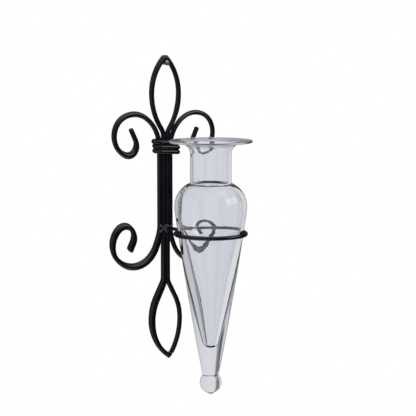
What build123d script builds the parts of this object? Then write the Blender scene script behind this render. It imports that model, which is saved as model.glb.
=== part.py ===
# A wall bracket of bent steel rod, with a tall glass tube vase that stands in its ring.
# Millimetres, +Z up. The wall is the plane y = 0, and all but the nail's shank is on its -Y side.
# The origin is the point where the nail's axis meets the wall.
from build123d import *
import math
import os

# Rods of the bracket
rod_diameter = 5.2          # 5 mm steel rod with its powder coat
rod_gap = 0.1               # between rods that lie side by side
rod_end_rounding = 1.1      # at the free ends of the scrolls

# Nail that the bracket hangs on, with a thicker neck that stops against the wall
nail_shank_diameter = 3.6
nail_shank_in_wall = 22.0
nail_neck_diameter = 4.2
nail_point_length = 4.0
nail_point_diameter = 0.8
nail_head_diameter = 5.8
nail_head_height = 1.7
nail_head_edge = 0.7
nail_head_gap = 0.4         # between the back of the head and the rod
hang_gap = 0.25             # between the neck and the rod that rests on it

# Top leaf: half width, length of its pointed half, and the radii of its bends
top_leaf_half_width = 18.0
top_leaf_point_length = 39.1
top_leaf_apex_bend = 3.8
top_leaf_shoulder_radius = 58.8
top_leaf_foot_angle = 34.4
top_leaf_foot_radius = 12.2

# Lower leaf, the same form upside down, with its tip a little to the right of the stem
low_leaf_below_nail = 273.5
low_leaf_half_width = 18.9
low_leaf_point_length = 40.6
low_leaf_shoulder_radius = 48.0
low_leaf_foot_angle = 29.4
low_leaf_foot_radius = 12.8
low_leaf_tip_lean = 4.7
leaf_root_gap = 0.8         # between the two rod ends at the lower tip
tip_weld_radius = 3.3

# Scrolls: radius and degrees of each bend from the stem to the tail, then the tail's straight end
high_scroll_below_nail = 89.3
high_scroll_radii = [37.9, 30.2, 21.2, 10.7]
high_scroll_degrees = [59.6, 55.0, 137.5, 135.0]
high_scroll_tail = 12.4
low_scroll_below_nail = 171.3
low_scroll_radii = [52.7, 31.1, 21.5, 12.2]
low_scroll_degrees = [27.7, 108.5, 95.4, 156.2]
low_scroll_tail = 9.7
right_rod_drop = 1.1        # the right scroll rod sits this much lower than the left
right_rod_back = 1.7        # it lies this much nearer to the wall than the other rods
right_rod_in = 0.2          # and this much nearer to the leaf rod, partly behind it

# Collar binding: rod wound round the stem
binding_diameter = 4.4
binding_pitch = 4.9
binding_turns = 3
binding_clearance = 0.1     # between the binding and the rods in it
binding_slack = 2.4         # how much further out its turns lie on the right
binding_ease = 0.5          # how much further back its slanted runs behind the rods lie
binding_wall_gap = 0.1      # between the binding and the wall
binding_below_nail = 88.6

# Ring and arm
ring_wire_diameter = 4.3
ring_below_nail = 173.0
ring_fit_gap = 0.25         # between the ring and the glass that rests in it
arm_diameter = 3.7
arm_below_ring = 1.5        # the arm's middle, under the ring's
ring_weld_radius = 3.2

# Crossed weld bead on the stem, where the arm starts
arm_weld_half_width = 7.8
arm_weld_aside = 1.6        # its middle lies this much to the left of the stem's
arm_weld_half_height = 3.4
arm_weld_bead_diameter = 2.3
arm_weld_end_diameter = 2.6 # the drops at the ends of its strokes
arm_weld_stand_off = 0.5    # the bead's middle, in front of the rods
arm_weld_lap = 0.3          # how far the second stroke of a crossing lies over the first
arm_weld_crossings = 2
arm_weld_root_radius = 2.9

# Glass tube: outside
tube_axis_from_stem = 74.5  # from the middle plane of the rods to the tube's axis
rim_below_nail = 78.2
rim_radius = 42.8
rim_thickness = 2.4
flare_radius = 10.0
flare_degrees = 84.0
neck_radius = 21.2
neck_length = 42.5          # from the rim down to the crease over the bulb
crease_rounding = 0.8       # where the neck meets the bulb and the cone meets the ball
shoulder_height = 24.0      # from the crease down to the bulb's widest
bulb_radius = 37.3
bulb_lower_bend = 45.0
bulb_lower_degrees = 8.2
cone_length = 183.8         # from the bulb's widest down to the middle of the ball
ball_radius = 11.4
waist_radius = 8.5
ball_point_degrees = 60.0
ball_point_radius = 3.0

# Glass tube: inside
neck_wall = 2.4
bulb_wall = 3.0
low_bulb_drop = 26.8        # from the bulb's widest down to where the next wall is measured
low_bulb_wall = 3.2
cavity_cone_drop = 101.6    # from the bulb's widest down to the straight end of the cavity
cavity_cone_wall = 8.9
cavity_bottom_radius = 5.5
cavity_bottom_rise = 38.1   # from the middle of the ball up to the bottom of the cavity

# Sizes that follow
rod_radius = rod_diameter / 2
binding_radius = binding_diameter / 2
binding_offset = rod_radius + binding_clearance + binding_radius
rod_plane = -(binding_wall_gap + binding_radius + binding_ease + binding_offset + right_rod_back)
rod_spacing = rod_diameter + rod_gap
leaf_run_x = rod_spacing / 2
scroll_run_x = leaf_run_x + rod_spacing
rod_front = rod_plane - rod_radius
tube_axis_y = rod_plane - tube_axis_from_stem
ring_z = -ring_below_nail
arm_z = ring_z - arm_below_ring
ring_wire_radius = ring_wire_diameter / 2

# Paths of the rods, as points in the plane of the bracket


def turned(x, z, heading, radius, degrees):
    # an arc from a point, turning left for positive degrees: its middle, its end and the new heading
    side = math.copysign(1, degrees)
    centre = (x - side * radius * math.sin(heading), z + side * radius * math.cos(heading))
    places = []
    for part in (0.5, 1):
        new = heading + math.radians(degrees) * part
        x_new = centre[0] + side * radius * math.sin(new)
        z_new = centre[1] - side * radius * math.cos(new)
        places.append((x_new, z_new))
    return places[0], places[1], new


def walk(x, z, heading_degrees, steps):
    # each step is (radius, degrees) for a bend or (length,) for a straight run
    legs = []
    heading = math.radians(heading_degrees)
    for step in steps:
        start = (x, z)
        if len(step) == 1:
            end = (x + step[0] * math.cos(heading), z + step[0] * math.sin(heading))
            middle = None
        else:
            middle, end, heading = turned(x, z, heading, step[0], step[1])
        legs.append((start, middle, end))
        x, z = end
    return legs


def backwards(legs):
    return [(end, middle, start) for start, middle, end in reversed(legs)]


def mirrored(legs):
    return [tuple(None if p is None else (-p[0], p[1]) for p in leg) for leg in legs]


def leg_edge(leg):
    start, middle, end = [None if p is None else Vector(p[0], rod_plane, p[1]) for p in leg]
    if middle is None:
        return Edge.make_line(start, end)
    return Edge.make_three_point_arc(start, middle, end)


def tube_along(edges, diameter):
    # one round bar along edges that meet end to end, with its volume set against section times length
    path = Wire(edges)
    section = Plane(origin=path @ 0, z_dir=path % 0) * Circle(diameter / 2)
    bar = sweep(section, path=path)
    share = bar.volume / (path.length * math.pi * diameter**2 / 4)
    return bar, path, share


def rod(legs, name, rounded):
    bar, path, share = tube_along([leg_edge(leg) for leg in legs], rod_diameter)
    print(name, "length", round(path.length, 1), "volume over section times length", round(share, 4))
    if rounded:
        ends = bar.faces().filter_by(GeomType.PLANE)
        bar = fillet(ends.edges(), rod_end_rounding)
    return bar


# Scroll rods


def scroll_steps(radii, degrees, tail):
    return [(r, d) for r, d in zip(radii, degrees)] + [(tail,)]


def scroll_rod():
    high_start = -high_scroll_below_nail
    low_start = -low_scroll_below_nail
    high_steps = scroll_steps(high_scroll_radii, high_scroll_degrees, high_scroll_tail)
    low_steps = scroll_steps(low_scroll_radii, [-d for d in low_scroll_degrees], low_scroll_tail)
    high = walk(-scroll_run_x, high_start, 90, high_steps)
    low = walk(-scroll_run_x, low_start, -90, low_steps)
    run = [((-scroll_run_x, high_start), None, (-scroll_run_x, low_start))]
    return rod(backwards(high) + run + low, "scroll rod", True)


# Leaf rod: from the top apex down one side to the lower tip, and the other side as its mirror image


def pointed_side(half_width, point_length):
    # the radius of a side that runs from full width to a sharp point
    return (point_length**2 + half_width**2) / (2 * half_width)


def foot_run(half_width, shoulder, foot, angle):
    # the straight run between the shoulder and the foot bend that brings the side in to the stem
    bends = (shoulder + foot) * (1 - math.cos(angle))
    return (half_width - leaf_run_x - bends) / math.sin(angle)


top_side = pointed_side(top_leaf_half_width, top_leaf_point_length)
top_side_x = top_side - top_leaf_half_width
nail_to_side = top_side - (nail_neck_diameter / 2 + hang_gap + rod_radius)
top_widest_z = -math.sqrt(nail_to_side**2 - top_side_x**2)
apex_rise = math.sqrt((top_side - top_leaf_apex_bend) ** 2 - top_side_x**2)
apex_z = top_widest_z + apex_rise + top_leaf_apex_bend
low_widest_z = -low_leaf_below_nail


def leaf_side(lean):
    # lean is how far beyond the middle of the stem this side ends
    side_turn = math.degrees(math.atan2(apex_rise, top_side_x))
    top_foot = math.radians(top_leaf_foot_angle)
    low_foot = math.radians(low_leaf_foot_angle)
    top_run = foot_run(top_leaf_half_width, top_leaf_shoulder_radius, top_leaf_foot_radius, top_foot)
    low_run = foot_run(low_leaf_half_width, low_leaf_shoulder_radius, low_leaf_foot_radius, low_foot)
    top_bends = (top_leaf_shoulder_radius + top_leaf_foot_radius) * math.sin(top_foot)
    low_bends = (low_leaf_shoulder_radius + low_leaf_foot_radius) * math.sin(low_foot)
    stem_top = top_widest_z - top_bends - top_run * math.cos(top_foot)
    stem_bottom = low_widest_z + low_bends + low_run * math.cos(low_foot)
    low_side = pointed_side(low_leaf_half_width - lean, low_leaf_point_length)
    end_reach = low_side - low_leaf_half_width + lean + leaf_root_gap / 2
    end_turn = math.degrees(math.acos(end_reach / (low_side - rod_radius)))
    steps = [
        (top_leaf_apex_bend, side_turn - 90),
        (top_side, -side_turn),
        (top_leaf_shoulder_radius, -top_leaf_foot_angle),
        (top_run,),
        (top_leaf_foot_radius, top_leaf_foot_angle),
        (stem_top - stem_bottom,),
        (low_leaf_foot_radius, low_leaf_foot_angle),
        (low_run,),
        (low_leaf_shoulder_radius, -low_leaf_foot_angle),
        (low_side, -end_turn),
    ]
    return walk(0, apex_z, 0, steps)


right_leaf_legs = leaf_side(low_leaf_tip_lean)
left_leaf_legs = mirrored(leaf_side(-low_leaf_tip_lean))
tip_x = (left_leaf_legs[-1][2][0] + right_leaf_legs[-1][2][0]) / 2
tip_z = (left_leaf_legs[-1][2][1] + right_leaf_legs[-1][2][1]) / 2


def leaf_rod():
    return rod(backwards(left_leaf_legs) + right_leaf_legs, "leaf rod", False)


def leaf_tip_weld(leaf):
    # the ball's seam faces the wall, beside both of the rod's ends
    bead = Plane(origin=(tip_x, rod_plane, tip_z), x_dir=(0, 1, 0), z_dir=(0, 0, 1)) * Sphere(tip_weld_radius)
    return bead - leaf


# Collar binding: a winding round the stem, with each half turn a pair of arcs

spots_per_turn = 40

def stem_half_width(z, drop):
    # how far out the binding's end bend is centred at a height, where the scroll rods start to lean
    rise = max(z + drop + high_scroll_below_nail, 0)
    lean = math.asin(rise / high_scroll_radii[0])
    out = high_scroll_radii[0] * (1 - math.cos(lean))
    return scroll_run_x + out + binding_offset * (1 / math.cos(lean) - 1)


def arc_between(start, corner, end):
    # the arc that leaves start towards corner and reaches end from it
    weight = math.cos((corner - start).get_angle(end - corner) * math.pi / 360)
    middle = (start + corner * 2 * weight + end) / (2 * (1 + weight))
    return Edge.make_three_point_arc(start, middle, end)


def two_arcs(start, start_way, end, end_way):
    # two arcs that leave start along one direction and reach end along another
    across = end - start
    ways = start_way + end_way
    turn = 2 * (1 - start_way.dot(end_way))
    reach = (-across.dot(ways) + math.sqrt(across.dot(ways) ** 2 + turn * across.dot(across))) / turn
    first = start + start_way * reach
    last = end - end_way * reach
    middle = (first + last) / 2
    return [arc_between(start, first, middle), arc_between(middle, last, end)]


def binding_points():
    # where the straight runs and the end bends meet, from the right at the back, climbing steadily
    quarters = 4 * binding_turns - 1
    first_z = -binding_below_nail - binding_pitch * quarters / 8
    points = []
    for quarter in range(quarters + 1):
        z = first_z + binding_pitch * quarter / 4
        reach = -stem_half_width(z, 0) - 2 * binding_clearance
        back = rod_plane + binding_offset + binding_ease
        if quarter % 4 < 2:
            reach = stem_half_width(z, right_rod_drop) - right_rod_in + binding_slack
            back += right_rod_back
        y = rod_plane - binding_offset if quarter % 4 in (1, 2) else back
        points.append(Vector(reach, y, z))
    return points


def self_gap(path, diameter, turn_length):
    # the least gap between parts of a winding that are more than half a turn apart along it
    count = spots_per_turn * binding_turns
    spots = [path @ (k / count) for k in range(count + 1)]
    step = path.length / count
    least = None
    for i, a in enumerate(spots):
        for j in range(i + 1, len(spots)):
            if (j - i) * step > turn_length / 2:
                gap = (spots[j] - a).length - diameter
                least = gap if least is None else min(least, gap)
    return least


def collar_binding():
    points = binding_points()
    runs = [(points[k], points[k + 1]) for k in range(1, len(points) - 1, 2)]
    ways = [(end - start).normalized() for start, end in runs]
    climb = binding_pitch / (8 * stem_half_width(-binding_below_nail, 0))
    end_way = Vector(1, 0, climb).normalized()
    all_ways = [end_way] + ways + [end_way]
    edges = []
    for k, (start, end) in enumerate(zip(points[0::2], points[1::2])):
        edges += two_arcs(start, all_ways[k], end, all_ways[k + 1])
        if k < len(runs):
            edges.append(Edge.make_line(runs[k][0], runs[k][1]))
    bar, path, share = tube_along(edges, binding_diameter)
    turn_length = path.length / (binding_turns - 1 / 4)
    print("binding length", round(path.length, 1), "volume over section times length", round(share, 4))
    print("least gap of the binding to itself", round(self_gap(path, binding_diameter, turn_length), 2))
    return bar


# Glass tube, as an outline turned round its own axis

rim_z = -rim_below_nail
flare_angle = math.radians(flare_degrees)
neck_bottom_z = rim_z - neck_length
bulb_z = neck_bottom_z - shoulder_height
shoulder_reach = bulb_radius - neck_radius
shoulder_radius = (shoulder_height**2 + shoulder_reach**2) / (2 * shoulder_reach)
ball_z = bulb_z - cone_length
cavity_bottom_z = ball_z + cavity_bottom_rise
point_angle = math.radians(ball_point_degrees)
point_centre_z = ball_z - (ball_radius - ball_point_radius) / math.sin(point_angle)
ball_bottom_z = point_centre_z - ball_point_radius
waist_z = ball_z + math.sqrt(ball_radius**2 - waist_radius**2)
lower_angle = math.radians(bulb_lower_degrees)
cone_top = (
    bulb_radius - bulb_lower_bend * (1 - math.cos(lower_angle)),
    bulb_z - bulb_lower_bend * math.sin(lower_angle),
)
cone_way = (-math.sin(lower_angle), -math.cos(lower_angle))


def cone_circle():
    # the circle that leaves the bulb along cone_way and passes through the waist, with a negative
    # radius where the cone is hollow
    inwards = (cone_way[1], -cone_way[0])
    across = (waist_radius - cone_top[0], waist_z - cone_top[1])
    reach = (across[0] ** 2 + across[1] ** 2) / (2 * (across[0] * inwards[0] + across[1] * inwards[1]))
    return (cone_top[0] + inwards[0] * reach, cone_top[1] + inwards[1] * reach), reach


def flat_arc(start, middle, end):
    return Edge.make_three_point_arc(*[Vector(p[0], 0, p[1]) for p in (start, middle, end)])


def flat_line(start, end):
    return Edge.make_line(Vector(start[0], 0, start[1]), Vector(end[0], 0, end[1]))


def on_circle(centre, radius, degrees):
    angle = math.radians(degrees)
    return (centre[0] + radius * math.cos(angle), centre[1] + radius * math.sin(angle))


def arc_from(start, way, end):
    # an arc that leaves start along way, with the direction in which it reaches end
    across = (end[0] - start[0], end[1] - start[1])
    side = (-way[1], way[0])
    reach = (across[0] ** 2 + across[1] ** 2) / (2 * (across[0] * side[0] + across[1] * side[1]))
    centre = (start[0] + side[0] * reach, start[1] + side[1] * reach)
    chord = math.atan2(across[1], across[0])
    bend = 2 * (chord - math.atan2(way[1], way[0]))
    half = math.atan2(start[1] - centre[1], start[0] - centre[0]) + bend / 2
    middle = (centre[0] + abs(reach) * math.cos(half), centre[1] + abs(reach) * math.sin(half))
    new = math.atan2(way[1], way[0]) + bend
    return flat_arc(start, middle, end), (math.cos(new), math.sin(new))


def outside_edges():
    # from the bottom of the ball up to the outer edge of the rim
    tip = (0, ball_bottom_z)
    point_centre = (0, point_centre_z)
    ball_centre = (0, ball_z)
    point_middle = on_circle(point_centre, ball_point_radius, -(90 + ball_point_degrees) / 2)
    point_end = on_circle(point_centre, ball_point_radius, -ball_point_degrees)
    ball_start = on_circle(ball_centre, ball_radius, -ball_point_degrees)
    waist = (waist_radius, waist_z)
    cone_arc, waist_way = arc_from(cone_top, cone_way, waist)
    bulb_side = (bulb_radius, bulb_z)
    lower_centre = (bulb_radius - bulb_lower_bend, bulb_z)
    lower_middle = on_circle(lower_centre, bulb_lower_bend, -bulb_lower_degrees / 2)
    shoulder_centre = (bulb_radius - shoulder_radius, bulb_z)
    shoulder_end = math.degrees(math.atan2(shoulder_height, neck_radius - shoulder_centre[0]))
    neck_bottom = (neck_radius, neck_bottom_z)
    return [
        flat_arc(tip, point_middle, point_end),
        flat_line(point_end, ball_start),
        flat_arc(ball_start, (ball_radius, ball_z), waist),
        cone_arc,
        flat_arc(cone_top, lower_middle, bulb_side),
        flat_arc(bulb_side, on_circle(shoulder_centre, shoulder_radius, shoulder_end / 2), neck_bottom),
        flat_line(neck_bottom, (neck_radius, flare_start_z())),
    ]


def flare_start_z():
    # the flare starts low enough for the middle of its rim to lie at rim_z
    middle_radius = flare_radius + rim_thickness / 2
    bend_end = neck_radius + flare_radius - middle_radius * math.cos(flare_angle)
    straight = rim_radius - rim_thickness / 2 - bend_end
    return rim_z - middle_radius * math.sin(flare_angle) - straight / math.tan(flare_angle)


def rim_edges():
    # the flare's outer face, the round edge of the rim and the flare's inner face
    start_z = flare_start_z()
    centre = (neck_radius + flare_radius, start_z)
    way = (math.sin(flare_angle), math.cos(flare_angle))
    edge_radius = rim_thickness / 2
    edge_middle = rim_radius - edge_radius
    flare_middle = on_circle(centre, flare_radius, 180 - flare_degrees / 2)
    low_start = on_circle(centre, flare_radius, 180 - flare_degrees)
    low_end = (edge_middle + edge_radius * way[1], rim_z - edge_radius * way[0])
    high_end = (edge_middle - edge_radius * way[1], rim_z + edge_radius * way[0])
    tip = (edge_middle + edge_radius * way[0], rim_z + edge_radius * way[1])
    high_start = on_circle(centre, flare_radius + rim_thickness, 180 - flare_degrees)
    inner_arc, inner_way = arc_from(high_start, (-way[0], -way[1]), (neck_radius - neck_wall, start_z))
    return [
        flat_arc((neck_radius, start_z), flare_middle, low_start),
        flat_line(low_start, low_end),
        flat_arc(low_end, tip, high_end),
        flat_line(high_end, high_start),
        inner_arc,
    ]


def inside_edges():
    # from the neck down to the round bottom of the cavity
    neck_inner = neck_radius - neck_wall
    bulb_inner = bulb_radius - bulb_wall
    shoulder_centre = (bulb_radius - shoulder_radius, bulb_z)
    inner_shoulder = shoulder_radius - bulb_wall
    neck_end_z = bulb_z + math.sqrt(inner_shoulder**2 - (neck_inner - shoulder_centre[0]) ** 2)
    shoulder_end = math.degrees(math.atan2(neck_end_z - bulb_z, neck_inner - shoulder_centre[0]))
    cone_z = bulb_z - cavity_cone_drop
    cone_end = (glass_radius_at(cone_z) - cavity_cone_wall, cone_z)
    bottom_centre = (0, cavity_bottom_z + cavity_bottom_radius)
    across = (cone_end[0], cone_end[1] - bottom_centre[1])
    lean = math.atan2(across[0], across[1]) - math.asin(cavity_bottom_radius / math.hypot(*across))
    bottom_end = on_circle(bottom_centre, cavity_bottom_radius, -math.degrees(lean))
    low_z = bulb_z - low_bulb_drop
    low_bulb = (glass_radius_at(low_z) - low_bulb_wall, low_z)
    cone_arc, way = arc_from(cone_end, (math.sin(lean), math.cos(lean)), low_bulb)
    bulb_arc, top_way = arc_from(low_bulb, way, (bulb_inner, bulb_z))
    bottom_middle = on_circle(bottom_centre, cavity_bottom_radius, -(90 + math.degrees(lean)) / 2)
    return [
        flat_line((neck_inner, flare_start_z()), (neck_inner, neck_end_z)),
        flat_arc(
            (neck_inner, neck_end_z),
            on_circle(shoulder_centre, inner_shoulder, shoulder_end / 2),
            (bulb_inner, bulb_z),
        ),
        bulb_arc,
        cone_arc,
        flat_line(cone_end, bottom_end),
        flat_arc(bottom_end, bottom_middle, (0, cavity_bottom_z)),
        flat_line((0, cavity_bottom_z), (0, ball_bottom_z)),
    ]


def glass_radius_at(z):
    # the outer radius of the long cone at a height
    centre, reach = cone_circle()
    return centre[0] + math.copysign(math.sqrt(reach**2 - (z - centre[1]) ** 2), reach)


def glass_tube():
    outline = Face(Wire(outside_edges() + rim_edges() + inside_edges()))
    corners = [Vector(waist_radius, 0, waist_z), Vector(neck_radius, 0, neck_bottom_z)]
    near = crease_rounding / 2
    creases = [v for v in outline.vertices() if min((Vector(v) - c).length for c in corners) < near]
    outline = outline.fillet_2d(crease_rounding, creases)
    return Pos(0, tube_axis_y, 0) * revolve(outline, axis=Axis.Z, revolution_arc=360)


# Ring, arm and their welds

cone_middle, cone_radius = cone_circle()
ring_reach = cone_radius + ring_wire_radius + ring_fit_gap
ring_out = math.sqrt(ring_reach**2 - (ring_z - cone_middle[1]) ** 2)
ring_radius = cone_middle[0] + math.copysign(ring_out, cone_radius)
ring_back_y = tube_axis_y + ring_radius


def holding_ring():
    return Pos(0, tube_axis_y, ring_z) * Torus(ring_radius, ring_wire_radius)


def bar_along_y(diameter, front_y, back_y, z):
    length = back_y - front_y
    turned_bar = Rot(90, 0, 0) * Cylinder(diameter / 2, length)
    return Pos(0, (front_y + back_y) / 2, z) * turned_bar


def ring_arm(ring):
    return bar_along_y(arm_diameter, ring_back_y, rod_front, arm_z) - ring


def ring_weld(ring, arm):
    bead = Pos(0, ring_back_y + ring_wire_radius, (ring_z + arm_z) / 2) * Sphere(ring_weld_radius)
    return bead - ring - arm


def bead_stroke(start, end):
    # a straight weld bead
    way = end - start
    return Plane(origin=(start + end) / 2, z_dir=way) * Cylinder(arm_weld_bead_diameter / 2, way.length)


def arm_weld(rods, arm):
    # two zigzags that cross, with a drop at each corner, on a bead round the root of the arm
    step = 2 * arm_weld_half_width / arm_weld_crossings
    bead = Pos(0, rod_front, arm_z) * Sphere(arm_weld_root_radius)
    for way in (-1, 1):
        y = rod_front - arm_weld_stand_off - max(way, 0) * arm_weld_lap
        corners = []
        for k in range(arm_weld_crossings + 1):
            rise = way * arm_weld_half_height * (1 if k % 2 else -1)
            corners.append(Vector(k * step - arm_weld_half_width - arm_weld_aside, y, arm_z + rise))
        for corner in corners:
            bead += Pos(corner) * Sphere(arm_weld_end_diameter / 2)
        for start, end in zip(corners, corners[1:]):
            bead += bead_stroke(start, end)
    for piece in rods + [arm]:
        bead -= piece
    return bead


# Nail, turned round the Y axis


def wall_nail():
    shank = nail_shank_diameter / 2
    neck = nail_neck_diameter / 2
    point = nail_point_diameter / 2
    head = nail_head_diameter / 2
    head_back = rod_front - nail_head_gap
    edge_y = head_back - nail_head_edge
    dome_y = head_back - nail_head_height
    tip_y = nail_shank_in_wall + nail_point_length
    corners = [(0, tip_y), (point, tip_y), (shank, nail_shank_in_wall), (shank, 0), (neck, 0)]
    corners += [(neck, head_back), (head, head_back), (head, edge_y)]
    edges = [Edge.make_line(Vector(*a, 0), Vector(*b, 0)) for a, b in zip(corners, corners[1:])]
    rise = edge_y - dome_y
    dome_radius = (head**2 + rise**2) / (2 * rise)
    half = math.asin(head / dome_radius) / 2
    dome_centre = dome_y + dome_radius
    dome_middle = Vector(dome_radius * math.sin(half), dome_centre - dome_radius * math.cos(half), 0)
    edges.append(Edge.make_three_point_arc(Vector(head, edge_y, 0), dome_middle, Vector(0, dome_y, 0)))
    edges.append(Edge.make_line(Vector(0, dome_y, 0), Vector(0, tip_y, 0)))
    return revolve(Face(Wire(edges)), axis=Axis.Y, revolution_arc=360)


# The whole part

left = scroll_rod()
right = Pos(-right_rod_in, right_rod_back, -right_rod_drop) * mirror(left, about=Plane.YZ)
leaf = leaf_rod()
ring = holding_ring()
arm = ring_arm(ring)

pieces = {
    "wall_nail": wall_nail(),
    "leaf_rod": leaf,
    "left_scroll_rod": left,
    "right_scroll_rod": right,
    "collar_binding": collar_binding(),
    "holding_ring": ring,
    "ring_arm": arm,
    "arm_weld": arm_weld([leaf, left, right], arm),
    "ring_weld": ring_weld(ring, arm),
    "leaf_tip_weld": leaf_tip_weld(leaf),
    "glass_tube": glass_tube(),
}

os.makedirs("parts", exist_ok=True)
for name, piece in pieces.items():
    export_step(piece, "parts/" + name + ".step")

print("ring radius", round(ring_radius, 2))
print("tube axis y", round(tube_axis_y, 2), "rod plane y", round(rod_plane, 2))
print("lift at which the ball is over the ring", round(ring_z + ring_wire_radius - ball_bottom_z, 2))
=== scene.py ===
import math

import bpy
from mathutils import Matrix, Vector


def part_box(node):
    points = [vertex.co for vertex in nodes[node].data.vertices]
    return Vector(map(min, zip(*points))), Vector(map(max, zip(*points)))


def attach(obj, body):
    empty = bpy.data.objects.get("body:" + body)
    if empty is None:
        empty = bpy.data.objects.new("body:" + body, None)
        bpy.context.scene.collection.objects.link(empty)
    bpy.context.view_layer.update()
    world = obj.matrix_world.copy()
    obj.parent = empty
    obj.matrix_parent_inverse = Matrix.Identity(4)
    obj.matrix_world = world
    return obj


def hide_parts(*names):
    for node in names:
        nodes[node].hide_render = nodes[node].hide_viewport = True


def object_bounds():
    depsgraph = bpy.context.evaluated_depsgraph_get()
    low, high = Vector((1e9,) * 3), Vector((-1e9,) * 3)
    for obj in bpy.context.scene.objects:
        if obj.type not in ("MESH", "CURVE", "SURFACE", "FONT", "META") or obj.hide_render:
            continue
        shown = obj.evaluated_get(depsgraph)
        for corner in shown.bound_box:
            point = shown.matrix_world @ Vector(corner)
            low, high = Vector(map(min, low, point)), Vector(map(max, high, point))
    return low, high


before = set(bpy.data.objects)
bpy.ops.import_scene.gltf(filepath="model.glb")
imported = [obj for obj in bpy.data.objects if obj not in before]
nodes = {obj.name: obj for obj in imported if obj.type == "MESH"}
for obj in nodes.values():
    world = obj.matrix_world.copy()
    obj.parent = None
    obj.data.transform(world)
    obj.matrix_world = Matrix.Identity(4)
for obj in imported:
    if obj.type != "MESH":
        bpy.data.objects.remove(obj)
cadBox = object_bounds()
mm = 0.001
print("frame loaded:", len(nodes), "nodes")

# The camera stands left of the object and a little higher than the nail, and looks slightly down
cameraView = {
    "place": (-0.9612, -1.2251, 0.03935),
    "azimuth": -40.0,
    "elevation": 7.1,
    "lens": 127.2,
    "sensor": 36.0,
    "nearest": 0.05,
    "farthest": 60.0,
}


def backwards(azimuth, elevation):
    a, e = math.radians(azimuth), math.radians(elevation)
    return Vector((math.sin(a) * math.cos(e), -math.cos(a) * math.cos(e), math.sin(e)))


def makeCamera(v):
    data = bpy.data.cameras.new("mainCamera")
    data.lens = v["lens"]
    data.sensor_width = v["sensor"]
    data.sensor_fit = "HORIZONTAL"
    data.clip_start, data.clip_end = v["nearest"], v["farthest"]
    camera = bpy.data.objects.new("mainCamera", data)
    bpy.context.scene.collection.objects.link(camera)
    camera.location = v["place"]
    camera.rotation_mode = "QUATERNION"
    camera.rotation_quaternion = (-backwards(v["azimuth"], v["elevation"])).to_track_quat("-Z", "Y")
    bpy.context.scene.camera = camera


makeCamera(cameraView)
bpy.context.scene.view_settings.view_transform = "Standard"
print("camera placed")


# Colours and nodes

def hexToLinear(colour):
    parts = [int(colour[i:i + 2], 16) / 255 for i in (1, 3, 5)]
    return tuple(c / 12.92 if c <= 0.04045 else ((c + 0.055) / 1.055) ** 2.4 for c in parts) + (1.0,)


def addNode(tree, kind, settings=None, inputs=None):
    # settings are the node's own, and inputs hold values or the sockets that feed them
    node = tree.nodes.new(kind)
    for name, value in (settings or {}).items():
        setattr(node, name, value)
    for name, value in (inputs or {}).items():
        if isinstance(value, bpy.types.NodeSocket):
            tree.links.new(value, node.inputs[name])
        else:
            node.inputs[name].default_value = value
    return node


def newMaterial(name):
    material = bpy.data.materials.new(name)
    material.use_nodes = True
    tree = material.node_tree
    tree.nodes.clear()
    return material, tree


# A Mix node's sockets for colours share their names with those for numbers, so they go by place
mixFirst, mixSecond, mixResult = 6, 7, 2


def patchyColour(tree, place, v):
    # cloudy patches of a real size, over which one colour fades into the other
    patches = addNode(tree, "ShaderNodeTexNoise", inputs={
        "Vector": place, "Scale": 1 / v["patchSize"], "Detail": v["patchDetail"]}).outputs["Fac"]
    start, end = v["patchEdges"]
    share = addNode(tree, "ShaderNodeMapRange", inputs={
        "Value": patches, "From Min": start, "From Max": end}).outputs["Result"]
    colour = addNode(tree, "ShaderNodeMix", {"data_type": "RGBA"}, {
        "Factor": share, mixFirst: hexToLinear(v["colour"]), mixSecond: hexToLinear(v["patchColour"])})
    return patches, colour.outputs[mixResult]


# Steel rod with a black polyester powder coat, baked on: a satin skin with a faint orange peel,
# which is drawn coarser than the real 2 mm so that it shows, and patches where the coat is thinner
powderCoat = {
    "colour": "#090A12",
    "patchColour": "#10111A",
    "patchSize": 14 * mm,
    "patchDetail": 3.0,
    "patchEdges": (0.35, 0.7),
    "peelSize": 5.0 * mm,
    "peelDetail": 0.5,
    "peelDepth": 0.03 * mm,
    "peelStrength": 0.05,
    "roughness": (0.22, 0.29),
    "roughnessEdges": (0.3, 0.7),
    "ior": 1.5,
}

# Over a weld the coat is thinner and duller; its lighter grey and pale spots are partly the thinner coat and
# partly a painted highlight on the beads
weldCoatAndPaintedHighlight = {
    **powderCoat,
    "colour": "#2B2C32",
    "patchColour": "#56575C",
    "patchSize": 3 * mm,
    "roughness": (0.36, 0.48),
}


def makePowderCoat(name, v):
    material, tree = newMaterial(name)
    place = addNode(tree, "ShaderNodeTexCoord").outputs["Object"]
    patches, colour = patchyColour(tree, place, v)
    peel = addNode(tree, "ShaderNodeTexNoise", inputs={
        "Vector": place, "Scale": 1 / v["peelSize"], "Detail": v["peelDetail"]})
    start, end = v["roughnessEdges"]
    low, high = v["roughness"]
    rough = addNode(tree, "ShaderNodeMapRange", inputs={
        "Value": patches, "From Min": start, "From Max": end, "To Min": low, "To Max": high})
    bump = addNode(tree, "ShaderNodeBump", inputs={
        "Strength": v["peelStrength"], "Distance": v["peelDepth"], "Height": peel.outputs["Fac"]})
    shader = addNode(tree, "ShaderNodeBsdfPrincipled", inputs={
        "Base Color": colour, "Roughness": rough.outputs["Result"], "IOR": v["ior"],
        "Normal": bump.outputs["Normal"]})
    addNode(tree, "ShaderNodeOutputMaterial", inputs={"Surface": shader.outputs["BSDF"]})
    return material


# Zinc plated steel nail, die headed: dull grey with faint warm patches and fine scratches
zincPlate = {
    "colour": "#8F8782",
    "patchColour": "#B9B2AE",
    "patchSize": 1.6 * mm,
    "patchDetail": 4.0,
    "patchEdges": (0.35, 0.65),
    "scratchSize": 0.25 * mm,
    "scratchDepth": 0.03 * mm,
    "scratchStrength": 0.3,
    "roughness": 0.42,
}


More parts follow.
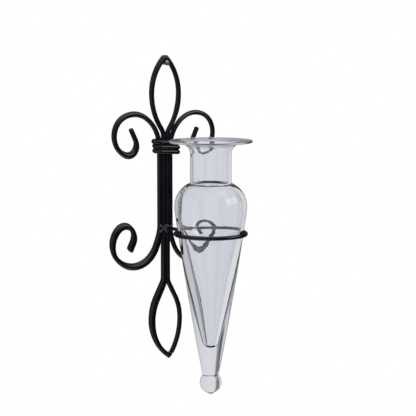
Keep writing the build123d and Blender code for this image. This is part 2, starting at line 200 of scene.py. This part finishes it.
def makeZincPlate(v):
    material, tree = newMaterial("zincPlatedSteel")
    place = addNode(tree, "ShaderNodeTexCoord").outputs["Object"]
    colour = patchyColour(tree, place, v)[1]
    scratches = addNode(tree, "ShaderNodeTexNoise", inputs={"Vector": place, "Scale": 1 / v["scratchSize"]})
    bump = addNode(tree, "ShaderNodeBump", inputs={
        "Strength": v["scratchStrength"], "Distance": v["scratchDepth"], "Height": scratches.outputs["Fac"]})
    shader = addNode(tree, "ShaderNodeBsdfPrincipled", inputs={
        "Base Color": colour, "Metallic": 1.0, "Roughness": v["roughness"], "Normal": bump.outputs["Normal"]})
    addNode(tree, "ShaderNodeOutputMaterial", inputs={"Surface": shader.outputs["BSDF"]})
    return material


# Clear soda lime glass, blown and tooled hot: a smooth fire-polished skin with slow waves in it
blownGlass = {
    "tint": "#F1F2F8",
    "ior": 1.52,
    "waveSize": 22 * mm,
    "waveStretch": 0.35,
    "waveDetail": 1.0,
    "waveDepth": 0.12 * mm,
    "waveStrength": 0.5,
    "bodyColour": "#C9CCD2",
    "bodyDensity": 9.0,
}


def makeBlownGlass(v):
    material, tree = newMaterial("clearBlownGlass")
    place = addNode(tree, "ShaderNodeTexCoord").outputs["Object"]
    mapping = addNode(tree, "ShaderNodeMapping", inputs={"Vector": place, "Scale": (1, 1, v["waveStretch"])})
    waves = addNode(tree, "ShaderNodeTexNoise", inputs={
        "Vector": mapping.outputs["Vector"], "Scale": 1 / v["waveSize"], "Detail": v["waveDetail"]})
    bump = addNode(tree, "ShaderNodeBump", inputs={
        "Strength": v["waveStrength"], "Distance": v["waveDepth"], "Height": waves.outputs["Fac"]})
    shader = addNode(tree, "ShaderNodeBsdfPrincipled", inputs={
        "Base Color": hexToLinear(v["tint"]), "Roughness": 0.0, "IOR": v["ior"],
        "Transmission Weight": 1.0, "Normal": bump.outputs["Normal"]})
    body = addNode(tree, "ShaderNodeVolumeAbsorption", inputs={
        "Color": hexToLinear(v["bodyColour"]), "Density": v["bodyDensity"]})
    addNode(tree, "ShaderNodeOutputMaterial", inputs={
        "Surface": shader.outputs["BSDF"], "Volume": body.outputs["Volume"]})
    return material


def dress(piece, material):
    piece.data.materials.clear()
    piece.data.materials.append(material)


coat = makePowderCoat("blackPowderCoat", powderCoat)
# the weld beads' coat is painted a lighter grey, partly as a painted highlight on them
beadCoatAndPaintedHighlight = makePowderCoat("blackCoatOnWeldAndPaintedHighlight", weldCoatAndPaintedHighlight)
zinc = makeZincPlate(zincPlate)
glass = makeBlownGlass(blownGlass)
for node in nodes.values():
    dress(node, coat)
dress(nodes["wall_nail"], zinc)
dress(nodes["glass_tube"], glass)
# light through the tube would sprinkle bright dots on the dark rods, so their rays don't meet it
nodes["glass_tube"].visible_glossy = False
nodes["glass_tube"].visible_diffuse = False
print("materials made")


# Pieces that replace CAD solids of the bracket

def finishPiece(piece, material, *replaced):
    dress(piece, material)
    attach(piece, "bracket")
    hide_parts(*replaced)


def onlyThis(piece):
    bpy.ops.object.select_all(action="DESELECT")
    piece.select_set(True)
    bpy.context.view_layer.objects.active = piece


mergeDistance = 0.001 * mm


def mergedCopy(node, name):
    piece = nodes[node].copy()
    piece.data = nodes[node].data.copy()
    piece.name = name
    bpy.context.scene.collection.objects.link(piece)
    onlyThis(piece)
    bpy.ops.object.mode_set(mode="EDIT")
    bpy.ops.mesh.select_all(action="SELECT")
    bpy.ops.mesh.remove_doubles(threshold=mergeDistance)
    bpy.ops.mesh.customdata_custom_splitnormals_clear()
    bpy.ops.object.mode_set(mode="OBJECT")
    bpy.ops.object.shade_smooth()
    return piece


def takeNormals(piece, node):
    # the exact normals of the CAD rod keep the shading even over its long thin faces
    onlyThis(piece)
    transfer = piece.modifiers.new("rodNormals", "DATA_TRANSFER")
    transfer.object = nodes[node]
    transfer.use_loop_data = True
    transfer.data_types_loops = {"CUSTOM_NORMAL"}
    transfer.loop_mapping = "POLYINTERP_NEAREST"
    bpy.ops.object.modifier_apply(modifier=transfer.name)


def smoothStep(value, start, end):
    share = min(max((value - start) / (end - start), 0.0), 1.0)
    return share * share * (3 - 2 * share)


# The rods are forged by hand, so they are oval in places. Each vector is the way in which a zone
# is swollen, as long as the growth of the rod's whole width that way
forging = {
    "highArc": Vector((0.454, -0.529, -0.913)) * mm,
    "highCurl": Vector((0.815, -1.037, -2.174)) * mm,
    "lowScroll": Vector((1.176, -1.397, -2.520)) * mm,
    "topLeaf": Vector((0.301, -0.415, -0.998)) * mm,
    "lowLeaf": Vector((1.679, -1.785, -2.310)) * mm,
    "roundness": 1.6,
    "collarSwell": 0.22 * mm,   # the binding's turns are hammered, and swell until they all but touch
    "wallGap": -0.04 * mm,      # no forged rod comes nearer to the wall's face than this
}

# Where the zones fade in, in mm: down is under the nail, and aside is to the left of the stem
scrollZones = {
    "lowDown": (168, 192),
    "lowOuterDown": (150, 160),
    "lowOuterAside": (22, 34),
    "highUp": (-89, -70),
    "highOuterUp": (-130, -110),
    "highOuterAside": (30, 36),
    "curlAside": (34, 37),
    "curlInwards": (-63, -55),
    "curlDown": (60, 66),
}
leafZones = {
    "topUp": (-60, -44),
    "lowDown": (212, 241),
    "tipLean": 5,
    "leanDown": (273, 311),
    "leftOfMiddle": (-0.5, 0.5),
}


def scrollForging(x, z):
    x, z = x / mm, z / mm
    zones = scrollZones
    low = max(smoothStep(-z, *zones["lowDown"]),
              smoothStep(-z, *zones["lowOuterDown"]) * smoothStep(-x, *zones["lowOuterAside"]))
    arch = smoothStep(z, *zones["highUp"])
    outer = smoothStep(-x, *zones["highOuterAside"]) * smoothStep(z, *zones["highOuterUp"])
    high = arch + (1 - arch) * outer
    curl = smoothStep(-x, *zones["curlAside"]) * smoothStep(x, *zones["curlInwards"])
    curl *= smoothStep(-z, *zones["curlDown"])
    swollen = forging["highArc"] * high * (1 - curl) + forging["highCurl"] * high * curl
    return swollen + forging["lowScroll"] * low


def leafForging(x, z):
    x, z = x / mm, z / mm
    zones = leafZones
    middle = zones["tipLean"] * smoothStep(-z, *zones["leanDown"])
    left = smoothStep(middle - x, *zones["leftOfMiddle"])
    top = forging["topLeaf"] * smoothStep(z, *zones["topUp"])
    return top + forging["lowLeaf"] * smoothStep(-z, *zones["lowDown"]) * left


def noForging(x, z):
    return Vector((0, 0, 0))


def forgeRod(name, node, forgingAt, swell=0.0):
    piece = mergedCopy(node, name)
    mesh = piece.data
    low, high = (Vector(corner) for corner in cadBox)
    spots = [v.co.copy() for v in mesh.vertices]
    normals = [v.normal.copy() for v in mesh.vertices]
    for vertex, spot, normal in zip(mesh.vertices, spots, normals):
        way = forgingAt(spot.x, spot.z)
        if way.length > 0:
            side = normal.dot(way.normalized()) * forging["roundness"]
            spot = spot + way / 2 * min(max(side, -1.0), 1.0)
        spot = spot + normal * swell
        spot.y = min(spot.y, forging["wallGap"])
        vertex.co = [min(max(c, a), b) for c, a, b in zip(spot, low, high)]
    mesh.update()
    takeNormals(piece, node)
    finishPiece(piece, coat, node)


forgeRod("left_scroll_forged", "left_scroll_rod", scrollForging)
forgeRod("leaf_forged", "leaf_rod", leafForging)
forgeRod("collar_hammered", "collar_binding", noForging, forging["collarSwell"])
print("rods forged")


# Weld beads: one drop is shaped, and copies of it run along each bead and melt together
weldDrop = {"segments": 16, "rings": 10, "flatShare": 0.8, "voxel": 0.2 * mm, "softness": 0.5, "smoothing": 3}
armWeld = {
    "radius": 0.95 * mm,
    "step": 0.75 * mm,
    "swell": 0.10,
    "crossings": 2,
    "endRadius": 1.25 * mm,
    "inset": 1.3 * mm,
    "proud": 1.6 * mm,
    "lap": 0.35 * mm,
    "rootRing": 2.1 * mm,
    "rootDrops": 9,
    "rootSwell": 1.2,
}
ringWeld = {"radius": 0.95 * mm, "ring": 2.0 * mm, "drops": 12, "swell": 1.15}
# each lump is its place beside the middle and its radius, in mm
tipWeld = {"radius": 2.7 * mm, "lumps": [(-0.7, -0.2, 0.5, 2.3), (0.2, -0.3, -0.6, 2.3)]}


def makeDrop(v):
    bpy.ops.object.select_all(action="DESELECT")
    bpy.ops.mesh.primitive_uv_sphere_add(segments=v["segments"], ring_count=v["rings"], radius=1.0)
    drop = bpy.context.object
    bpy.ops.object.mode_set(mode="EDIT")
    bpy.ops.mesh.select_all(action="SELECT")
    bpy.ops.transform.resize(value=(1, v["flatShare"], 1))
    bpy.ops.object.mode_set(mode="OBJECT")
    return drop


def meltTogether(piece, v):
    remesh = piece.modifiers.new("evenFaces", "REMESH")
    remesh.mode = "VOXEL"
    remesh.voxel_size = v["voxel"]
    bpy.ops.object.modifier_apply(modifier=remesh.name)
    smooth = piece.modifiers.new("soften", "SMOOTH")
    smooth.factor = v["softness"]
    smooth.iterations = v["smoothing"]
    bpy.ops.object.modifier_apply(modifier=smooth.name)
    bpy.ops.object.shade_smooth()


def meltDrops(name, drops, replaced, material):
    # drops are places with radii
    first = makeDrop(weldDrop)
    copies = []
    for place, radius in drops:
        copy = first.copy()
        copy.data = first.data.copy()
        for vertex in copy.data.vertices:
            vertex.co = vertex.co * radius + place
        bpy.context.scene.collection.objects.link(copy)
        copies.append(copy)
    bpy.data.objects.remove(first)
    bpy.ops.object.select_all(action="DESELECT")
    for copy in copies:
        copy.select_set(True)
    bpy.context.view_layer.objects.active = copies[0]
    bpy.ops.object.join()
    piece = bpy.context.object
    piece.name = name
    meltTogether(piece, weldDrop)
    finishPiece(piece, material, replaced)


def corners(node):
    return [Vector(corner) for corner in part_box(node)]


def ringOfDrops(middle, ring, count, radii):
    # the radii take turns round the ring
    drops = []
    for k in range(count):
        turn = 2 * math.pi * k / count
        offset = Vector((math.cos(turn), 0, math.sin(turn))) * ring
        drops.append((middle + offset, radii[k % len(radii)]))
    return drops


def dropsAlong(start, end, v):
    count = max(round((end - start).length / v["step"]), 1)
    return [(start.lerp(end, k / count), v["radius"] * (1 + v["swell"] * (-1) ** k))
            for k in range(count + 1)]


def makeArmWeld(v):
    # two zigzags cross each other, and a ring of drops lies round the arm's root
    low, high = corners("arm_weld")
    heights = (low.z + v["inset"], high.z - v["inset"])
    step = (high.x - low.x - 2 * v["inset"]) / v["crossings"]
    drops = []
    for way in (0, 1):
        y = low.y + v["proud"] - way * v["lap"]
        turns = [Vector((low.x + v["inset"] + k * step, y, heights[(k + way) % 2]))
                 for k in range(v["crossings"] + 1)]
        for start, end in zip(turns, turns[1:]):
            drops += dropsAlong(start, end, v)
        drops += [(turn, v["endRadius"]) for turn in turns]
    armLow, armHigh = corners("ring_arm")
    root = (armLow + armHigh) / 2
    root.y = armHigh.y - v["radius"]
    drops += ringOfDrops(root, v["rootRing"], v["rootDrops"], [v["radius"] * v["rootSwell"]])
    meltDrops("arm_weld_beads", drops, "arm_weld", beadCoatAndPaintedHighlight)


def makeRingWeld(v):
    low, high = corners("ring_weld")
    radii = [v["radius"], v["radius"] * v["swell"]]
    drops = ringOfDrops((low + high) / 2, v["ring"], v["drops"], radii)
    meltDrops("ring_weld_bead", drops, "ring_weld", beadCoatAndPaintedHighlight)


def makeTipWeld(v):
    low, high = corners("leaf_tip_weld")
    middle = (low + high) / 2
    drops = [(middle, v["radius"])]
    drops += [(middle + Vector((x, y, z)) * mm, r * mm) for x, y, z, r in v["lumps"]]
    meltDrops("leaf_tip_bead", drops, "leaf_tip_weld", coat)


makeArmWeld(armWeld)
makeRingWeld(ringWeld)
makeTipWeld(tipWeld)
print("welds melted")


# Light: a pale studio with soft boxes, and dark cards round it that draw the outlines of the glass
studio = {
    "ambient": 0.5,
    "backdrop": 1.0,
    "paleForGlass": 0.86,
    "cardForGlass": 0.20,
    "cardPlace": 82.0,
    "cardsRound": 2,
    "cardEdge": 0.85,
    "frontForGloss": 0.02,
    # gloss sees a dim room, less dim beyond the wall, with a broad pale ceiling and a pale left side:
    # each fade is an axis, where on it the fade starts and ends, and the brightness that it ends with
    "fadesForGloss": [("Y", -0.3, 0.5, 0.06), ("Z", 0.45, 0.95, 1.0), ("X", -0.25, -0.95, 0.45)],
}

softBoxes = {
    "overheadBox": {
        "azimuth": -60, "elevation": 72, "distance": 1.6, "size": (1.2, 0.8), "power": 14, "mirrored": False},
    "rightBox": {
        "azimuth": 39, "elevation": 25, "distance": 1.9, "size": (1.5, 0.8), "power": 11, "mirrored": True},
}
lightTarget = Vector((0.0, -0.04, -0.15))


def makeWorld(v):
    world = bpy.data.worlds.new("studio")
    bpy.context.scene.world = world
    world.use_nodes = True
    tree = world.node_tree
    tree.nodes.clear()
    path = addNode(tree, "ShaderNodeLightPath")
    way = addNode(tree, "ShaderNodeTexCoord").outputs["Generated"]
    apart = addNode(tree, "ShaderNodeSeparateXYZ", inputs={"Vector": way})
    # upright dark cards stand at even steps round the object, the first at cardPlace degrees
    turn = addNode(tree, "ShaderNodeMath", {"operation": "ARCTAN2"}, {
        0: apart.outputs["Y"], 1: apart.outputs["X"]})
    fromCard = addNode(tree, "ShaderNodeMath", {"operation": "SUBTRACT"}, {
        0: turn.outputs[0], 1: math.radians(v["cardPlace"])})
    steps = addNode(tree, "ShaderNodeMath", {"operation": "MULTIPLY"}, {
        0: fromCard.outputs[0], 1: v["cardsRound"]})
    wave = addNode(tree, "ShaderNodeMath", {"operation": "COSINE"}, {0: steps.outputs[0]})
    forGlass = addNode(tree, "ShaderNodeMapRange", {"interpolation_type": "SMOOTHSTEP"}, {
        "Value": wave.outputs[0], "From Min": v["cardEdge"], "From Max": 1.0,
        "To Min": v["paleForGlass"], "To Max": v["cardForGlass"]}).outputs["Result"]
    forGloss = v["frontForGloss"]
    for axis, start, end, brightness in v["fadesForGloss"]:
        forGloss = addNode(tree, "ShaderNodeMapRange", {"interpolation_type": "SMOOTHSTEP"}, {
            "Value": apart.outputs[axis], "From Min": start, "From Max": end,
            "To Min": forGloss, "To Max": brightness}).outputs["Result"]
    # a ray that has been in the glass sees the glass's room, also where the glass wall mirrors it last
    inGlass = addNode(tree, "ShaderNodeMath", {"operation": "MINIMUM"}, {
        0: path.outputs["Transmission Depth"], 1: 1.0}).outputs[0]
    strength = v["ambient"]
    for isSuchRay, seen in ((path.outputs["Is Glossy Ray"], forGloss), (inGlass, forGlass),
                            (path.outputs["Is Camera Ray"], v["backdrop"])):
        strength = addNode(tree, "ShaderNodeMix", inputs={
            "Factor": isSuchRay, "A": strength, "B": seen}).outputs["Result"]
    sky = addNode(tree, "ShaderNodeBackground", inputs={"Color": (1.0, 1.0, 1.0, 1.0), "Strength": strength})
    addNode(tree, "ShaderNodeOutputWorld", inputs={"Surface": sky.outputs["Background"]})


def addSoftBox(name, v):
    data = bpy.data.lights.new(name, "AREA")
    data.shape = "RECTANGLE"
    data.size, data.size_y = v["size"]
    data.energy = v["power"]
    box = bpy.data.objects.new(name, data)
    bpy.context.scene.collection.objects.link(box)
    back = backwards(v["azimuth"], v["elevation"])
    box.location = lightTarget + back * v["distance"]
    box.rotation_mode = "QUATERNION"
    box.rotation_quaternion = (-back).to_track_quat("-Z", "Y")
    box.visible_glossy = box.visible_transmission = v["mirrored"]


makeWorld(studio)
for name, values in softBoxes.items():
    addSoftBox(name, values)
print("lights placed")


# A pale floor well under the object, as deep as a hall floor under a wall bracket
floorPlate = {"depth": 1.25, "size": 1.6, "colour": "#F2F2F0", "roughness": (0.7, 0.9), "patchesToMetre": 6.0}


def makeFloor(v):
    material, tree = newMaterial("paleFloor")
    place = addNode(tree, "ShaderNodeTexCoord").outputs["Object"]
    noise = addNode(tree, "ShaderNodeTexNoise", inputs={"Vector": place, "Scale": v["patchesToMetre"]})
    low, high = v["roughness"]
    rough = addNode(tree, "ShaderNodeMapRange", inputs={
        "Value": noise.outputs["Fac"], "To Min": low, "To Max": high})
    shader = addNode(tree, "ShaderNodeBsdfPrincipled", inputs={
        "Base Color": hexToLinear(v["colour"]), "Roughness": rough.outputs["Result"]})
    addNode(tree, "ShaderNodeOutputMaterial", inputs={"Surface": shader.outputs["BSDF"]})
    bpy.ops.object.select_all(action="DESELECT")
    bpy.ops.mesh.primitive_plane_add(size=v["size"], location=(0, 0, -v["depth"]))
    floor = bpy.context.object
    floor.name = "floor"
    dress(floor, material)


# The wall's face, white for the camera from its front only, so that it hides the nail's shank
wallPlate = {"behind": 0.2 * mm, "size": 3.0}


def makeWall(v):
    material, tree = newMaterial("whiteWall")
    path = addNode(tree, "ShaderNodeLightPath")
    face = addNode(tree, "ShaderNodeNewGeometry")
    front = addNode(tree, "ShaderNodeMath", {"operation": "SUBTRACT"}, {
        0: path.outputs["Is Camera Ray"], 1: face.outputs["Backfacing"]})
    clear = addNode(tree, "ShaderNodeBsdfTransparent")
    white = addNode(tree, "ShaderNodeEmission", inputs={"Strength": 1.0})
    mixed = addNode(tree, "ShaderNodeMixShader", inputs={
        0: front.outputs[0], 1: clear.outputs["BSDF"], 2: white.outputs["Emission"]})
    addNode(tree, "ShaderNodeOutputMaterial", inputs={"Surface": mixed.outputs["Shader"]})
    bpy.ops.object.select_all(action="DESELECT")
    bpy.ops.mesh.primitive_plane_add(
        size=v["size"], location=(0, v["behind"], 0), rotation=(math.pi / 2, 0, 0))
    wall = bpy.context.object
    wall.name = "wall"
    dress(wall, material)


makeFloor(floorPlate)
makeWall(wallPlate)
print("floor and wall placed")
